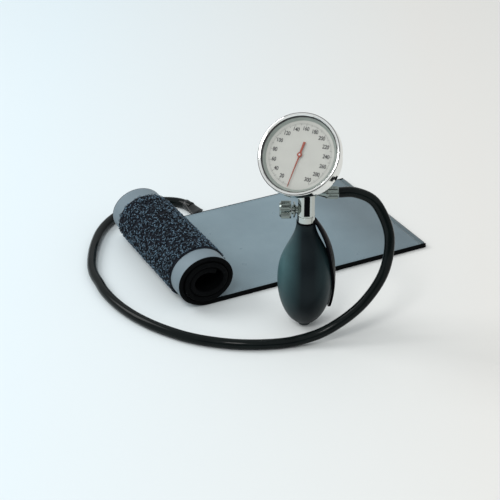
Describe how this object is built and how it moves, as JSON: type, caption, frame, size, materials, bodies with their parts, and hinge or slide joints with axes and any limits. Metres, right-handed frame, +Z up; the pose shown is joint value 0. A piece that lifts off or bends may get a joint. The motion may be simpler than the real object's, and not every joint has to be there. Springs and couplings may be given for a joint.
{
  "type": "aneroid sphygmomanometer",
  "caption": "One-hand aneroid blood pressure gauge: tilted round dial on a chrome valve block, rubber bulb with hand lever, one hose, and a wrap cuff partly rolled up.",
  "frame": {"origin": "centre of the flat foot under the bulb, where the handle's axis meets the table", "axes": "+Z up the handle's axis, +X towards the hose outlet, -Y towards the reader of the dial"},
  "size_m": [0.2809, 0.2853, 0.1791],
  "materials": {
    "chrome": "polished",
    "lens_glass": "clear",
    "black_rubber": "satin",
    "bulb_rubber": "satin",
    "foot_rubber": "satin",
    "hose_rubber": "satin",
    "lever_plastic": "gloss",
    "dial_grey": "matte",
    "spacer_grey": "satin",
    "pointer_red": "satin",
    "cuff_nylon": "satin weave",
    "cuff_lining": "matte",
    "cuff_binding": "woven tape",
    "loop_patch": "curly pile",
    "hook_patch": "hook tape",
    "steel": "satin",
    "brass": "satin"
  },
  "bodies": {
    "instrument": {"gauge_case": "chrome", "bezel_ring": "chrome", "dial_lens": "lens_glass", "lens_gasket": "black_rubber", "dial_spacer": "spacer_grey", "dial_plate": "dial_grey", "gauge_stem": "brass", "capsule_lower": "brass", "movement_posts": "brass", "movement_rear_plate": "brass", "movement_pillars": "brass", "movement_front_plate": "brass", "movement_screws": "steel", "case_screws": "steel", "hairspring": "steel", "valve_block": "chrome", "valve_gland": "chrome", "valve_seal": "black_rubber", "hose_nipple": "chrome", "bulb_ferrule": "chrome", "outlet_valve_seat": "brass", "bulb": "bulb_rubber", "inlet_valve": "foot_rubber", "hose": "hose_rubber", "cuff_outer_fabric": "cuff_nylon", "cuff_inner_fabric": "cuff_nylon", "cuff_bladder": "black_rubber", "cuff_lining": "cuff_lining", "cuff_edge_binding": "cuff_binding", "cuff_end_hems": "cuff_binding", "loop_patch": "loop_patch", "hook_patch": "hook_patch", "bladder_port": "black_rubber"},
    "sector": {"sector_gear": "brass"},
    "pointer_arbor": {"pinion_arbor": "steel", "pointer": "pointer_red"},
    "rocker": {"rocking_shaft": "steel"},
    "capsule": {"capsule_upper": "brass", "push_pin": "steel"},
    "needle": {"valve_needle": "steel"},
    "knob": {"valve_knob": "chrome"},
    "lever": {"hand_lever": "lever_plastic"},
    "nut": {"hose_nut": "chrome"},
    "inlet_ball": {"inlet_ball": "steel"},
    "outlet_disc": {"outlet_valve_disc": "black_rubber"}
  },
  "joints": [
    {"name": "capsule_lift", "type": "slide", "parent": "instrument", "child": "capsule", "axis": [-0.3161, -0.71, 0.6293], "range_m": [0, 0.0011], "stiffness_N_per_m": 1000, "springref_m": -0.0005},
    {"name": "sector_swing", "type": "hinge", "parent": "instrument", "child": "sector", "pos_m": [-0.01833, -0.01201, 0.14265], "axis": [-0.3161, -0.71, 0.6293], "range_deg": [0, 40.12]},
    {"name": "pointer_turn", "type": "hinge", "parent": "instrument", "child": "pointer_arbor", "pos_m": [-0.00368, -0.01351, 0.14831], "axis": [-0.3161, -0.71, 0.6293], "range_deg": [-322, 0]},
    {"name": "rocker_swing", "type": "hinge", "parent": "instrument", "child": "rocker", "pos_m": [-0.00252, -0.01253, 0.14284], "axis": [0.9456, -0.2896, 0.1483], "range_deg": [0, 20.5]},
    {"name": "valve_turn", "type": "hinge", "parent": "needle", "child": "knob", "pos_m": [-0.016, 0, 0.0986], "axis": [-1, 0, 0], "range_deg": [0, 450]},
    {"name": "valve_travel", "type": "slide", "parent": "instrument", "child": "needle", "axis": [-1, 0, 0], "range_m": [0, 0.00094]},
    {"name": "lever_swivel", "type": "hinge", "parent": "instrument", "child": "lever", "pos_m": [0, 0, 0.0888], "axis": [0, 0, 1], "continuous": true},
    {"name": "nut_turn", "type": "hinge", "parent": "instrument", "child": "nut", "pos_m": [0.0195, 0, 0.113], "axis": [1, 0, 0], "continuous": true},
    {"name": "inlet_ball_lift", "type": "slide", "parent": "instrument", "child": "inlet_ball", "axis": [0, 0, 1], "range_m": [0, 0.0025]},
    {"name": "outlet_disc_lift", "type": "slide", "parent": "instrument", "child": "outlet_disc", "axis": [0, 0, 1], "range_m": [0, 0.0015]}
  ],
  "couplings": [
    {"joint": "sector_swing", "follows": "capsule_lift", "rad_per_m": 636.64},
    {"joint": "pointer_turn", "follows": "capsule_lift", "rad_per_m": -5093.1},
    {"joint": "rocker_swing", "follows": "capsule_lift", "rad_per_m": 318.32},
    {"joint": "valve_travel", "follows": "valve_turn", "m_per_rad": 0.00011937}
  ]
}
